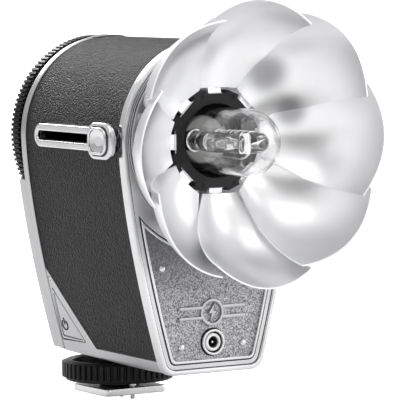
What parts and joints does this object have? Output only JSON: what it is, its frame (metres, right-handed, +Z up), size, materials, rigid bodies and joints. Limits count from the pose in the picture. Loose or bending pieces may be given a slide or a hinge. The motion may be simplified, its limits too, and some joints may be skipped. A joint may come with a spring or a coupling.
{
  "type": "shoe-mounted flash gun with folding petal reflector",
  "caption": "Small retro flash gun: round-topped leather-covered case, petal reflector that folds as a side slider draws the lamp in, rear dial, shoe foot with lock wheel.",
  "frame": {"origin": "on the underside of the shoe foot, on its centre line, 3.6 mm ahead of the foot's rear edge", "axes": "+Z up along the stem, -Y the way the lamp and reflector face, +X to the right seen from the front"},
  "size_m": [0.0724, 0.0904, 0.1071],
  "materials": {
    "satin_silver": "satin",
    "bright_silver": "polished",
    "petal_silver": "satin metallised",
    "grain_silver": "coarse blasted",
    "leatherette": "fine pebble grain",
    "black_plastic": "matte",
    "steel": "fine brushed",
    "white_ceramic": "glazed",
    "clear_glass": "clear",
    "quartz": "clear",
    "amber_lens": "gloss",
    "clear_lens": "gloss",
    "red_button": "gloss",
    "cell_sleeve": "gloss film",
    "capacitor_can": "gloss film",
    "board_green": "solder mask"
  },
  "bodies": {
    "case": {"body_shell": "satin_silver", "leatherette_wrap": "leatherette", "slot_trim": "bright_silver", "front_bezel": "bright_silver", "front_plate": "bright_silver", "mouth_ring": "bright_silver", "badge_panel": "grain_silver", "badge_ornament": "bright_silver", "badge_rivet_upper_left": "bright_silver", "badge_rivet_upper_right": "bright_silver", "badge_rivet_lower_left": "bright_silver", "badge_rivet_lower_right": "bright_silver", "sync_socket_collar": "bright_silver", "sync_socket_barrel": "white_ceramic", "sync_socket_pin": "bright_silver", "rear_rim": "bright_silver", "rear_plate": "black_plastic", "index_tab": "bright_silver", "rear_cover": "satin_silver", "charge_port": "steel", "ready_lamp": "amber_lens", "cover_screw_left": "steel", "cover_screw_right": "steel", "dial_face": "satin_silver", "dial_screw": "bright_silver", "status_led": "clear_lens", "battery_cell": "cell_sleeve", "flash_capacitor": "capacitor_can", "circuit_board": "board_green", "guide_rod_left": "steel", "guide_rod_right": "steel", "shoe_foot": "steel", "shoe_stem": "black_plastic", "contact_insulator": "black_plastic"},
    "dial": {"dial_ring": "black_plastic"},
    "power_key": {"power_button": "bright_silver"},
    "test_key": {"test_button": "red_button"},
    "lock_nut": {"lock_wheel": "black_plastic"},
    "shoe_lock": {"locking_pin": "steel"},
    "shoe_contact": {"contact_pin": "steel"},
    "carriage": {"carriage_block": "black_plastic", "slider_knob": "bright_silver", "hub_ring": "black_plastic", "hinge_wire": "steel", "lamp_cup": "black_plastic", "carriage_face": "bright_silver", "lamp_base": "white_ceramic", "glass_dome": "clear_glass", "flash_tube": "quartz", "trigger_wire": "steel"},
    "reflector_petal_1": {"petal_1": "petal_silver"},
    "reflector_petal_2": {"petal_2": "petal_silver"},
    "reflector_petal_3": {"petal_3": "petal_silver"},
    "reflector_petal_4": {"petal_4": "petal_silver"},
    "reflector_petal_5": {"petal_5": "petal_silver"},
    "reflector_petal_6": {"petal_6": "petal_silver"},
    "reflector_petal_7": {"petal_7": "petal_silver"},
    "reflector_petal_8": {"petal_8": "petal_silver"}
  },
  "joints": [
    {"name": "reflector_slide", "type": "slide", "parent": "case", "child": "carriage", "axis": [0, 1, 0], "range_m": [0, 0.03]},
    {"name": "dial_turn", "type": "hinge", "parent": "case", "child": "dial", "pos_m": [0, 0.0025, 0.0694], "axis": [0, 1, 0], "range_deg": [-150, 150]},
    {"name": "power_press", "type": "slide", "parent": "case", "child": "power_key", "axis": [0.9669, 0, 0.2552], "range_m": [0, 0.0008], "stiffness_N_per_m": 400},
    {"name": "test_press", "type": "slide", "parent": "case", "child": "test_key", "axis": [0, -1, 0], "range_m": [0, 0.0006], "stiffness_N_per_m": 400},
    {"name": "lock_wheel_turn", "type": "hinge", "parent": "case", "child": "lock_nut", "pos_m": [0, -0.0055, 0.006], "axis": [0, 0, 1], "range_deg": [0, 270]},
    {"name": "locking_pin_slide", "type": "slide", "parent": "case", "child": "shoe_lock", "axis": [0, 0, 1], "range_m": [0, 0.0014]},
    {"name": "contact_press", "type": "slide", "parent": "case", "child": "shoe_contact", "axis": [0, 0, 1], "range_m": [0, 0.0012], "stiffness_N_per_m": 300},
    {"name": "petal_1_fold", "type": "hinge", "parent": "carriage", "child": "reflector_petal_1", "pos_m": [0, -0.0551, 0.0809], "axis": [1, 0, 0], "range_deg": [0, 30.5]},
    {"name": "petal_2_fold", "type": "hinge", "parent": "carriage", "child": "reflector_petal_2", "pos_m": [0.00813, -0.0551, 0.07753], "axis": [0.7071, 0, -0.7071], "range_deg": [0, 30.5]},
    {"name": "petal_3_fold", "type": "hinge", "parent": "carriage", "child": "reflector_petal_3", "pos_m": [0.0115, -0.0551, 0.0694], "axis": [0, 0, -1], "range_deg": [0, 30.5]},
    {"name": "petal_4_fold", "type": "hinge", "parent": "carriage", "child": "reflector_petal_4", "pos_m": [0.00813, -0.0551, 0.06127], "axis": [-0.7071, 0, -0.7071], "range_deg": [0, 30.5]},
    {"name": "petal_5_fold", "type": "hinge", "parent": "carriage", "child": "reflector_petal_5", "pos_m": [0, -0.0551, 0.0579], "axis": [-1, 0, 0], "range_deg": [0, 30.5]},
    {"name": "petal_6_fold", "type": "hinge", "parent": "carriage", "child": "reflector_petal_6", "pos_m": [-0.00813, -0.0551, 0.06127], "axis": [-0.7071, 0, 0.7071], "range_deg": [0, 30.5]},
    {"name": "petal_7_fold", "type": "hinge", "parent": "carriage", "child": "reflector_petal_7", "pos_m": [-0.0115, -0.0551, 0.0694], "axis": [0, 0, 1], "range_deg": [0, 30.5]},
    {"name": "petal_8_fold", "type": "hinge", "parent": "carriage", "child": "reflector_petal_8", "pos_m": [-0.00813, -0.0551, 0.07753], "axis": [0.7071, 0, 0.7071], "range_deg": [0, 30.5]}
  ],
  "couplings": [
    {"joint": "locking_pin_slide", "follows": "lock_wheel_turn", "m_per_rad": 0.00029706},
    {"joint": "petal_1_fold", "follows": "reflector_slide", "rad_per_m": 17.453},
    {"joint": "petal_2_fold", "follows": "reflector_slide", "rad_per_m": 17.453},
    {"joint": "petal_3_fold", "follows": "reflector_slide", "rad_per_m": 17.453},
    {"joint": "petal_4_fold", "follows": "reflector_slide", "rad_per_m": 17.453},
    {"joint": "petal_5_fold", "follows": "reflector_slide", "rad_per_m": 17.453},
    {"joint": "petal_6_fold", "follows": "reflector_slide", "rad_per_m": 17.453},
    {"joint": "petal_7_fold", "follows": "reflector_slide", "rad_per_m": 17.453},
    {"joint": "petal_8_fold", "follows": "reflector_slide", "rad_per_m": 17.453}
  ]
}
